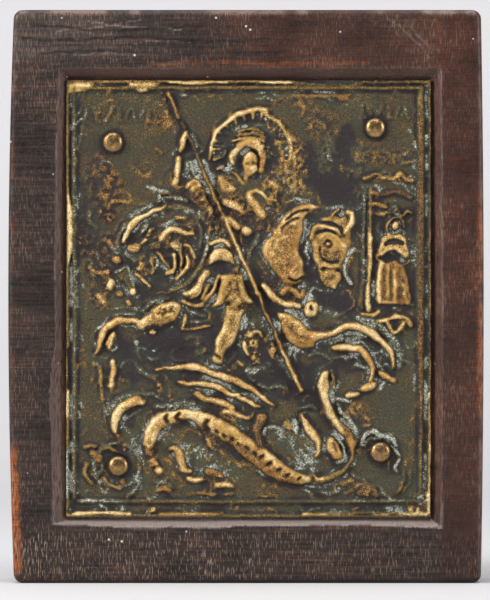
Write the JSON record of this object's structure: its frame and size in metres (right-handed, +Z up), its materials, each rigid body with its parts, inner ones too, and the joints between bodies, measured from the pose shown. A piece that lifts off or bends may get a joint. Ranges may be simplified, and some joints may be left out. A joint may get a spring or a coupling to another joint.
{
  "type": "travel icon",
  "caption": "Small hollowed wooden board holding a stamped brass relief of a mounted dragon slayer, fixed with dome-headed nails.",
  "frame": {"origin": "middle of the board's foot, halfway through its depth", "axes": "+Z up along the board's height, +X to the right as the relief is seen, the relief faces -Y"},
  "size_m": [0.1, 0.018, 0.1205],
  "materials": {
    "dark_wood": "old dark varnish, worn to a soft sheen, with fine scratches and open pores",
    "old_brass": "stamped brass sheet, bright where it is rubbed, brown and dark in the hollows, pale green along the outlines",
    "nail_brass": "worn polished brass"
  },
  "bodies": {
    "root": {"board": "dark_wood", "relief_plaque": "old_brass", "nail_upper_left": "nail_brass", "nail_upper_right": "nail_brass", "nail_lower_left": "nail_brass", "nail_lower_right": "nail_brass"}
  },
  "joints": []
}
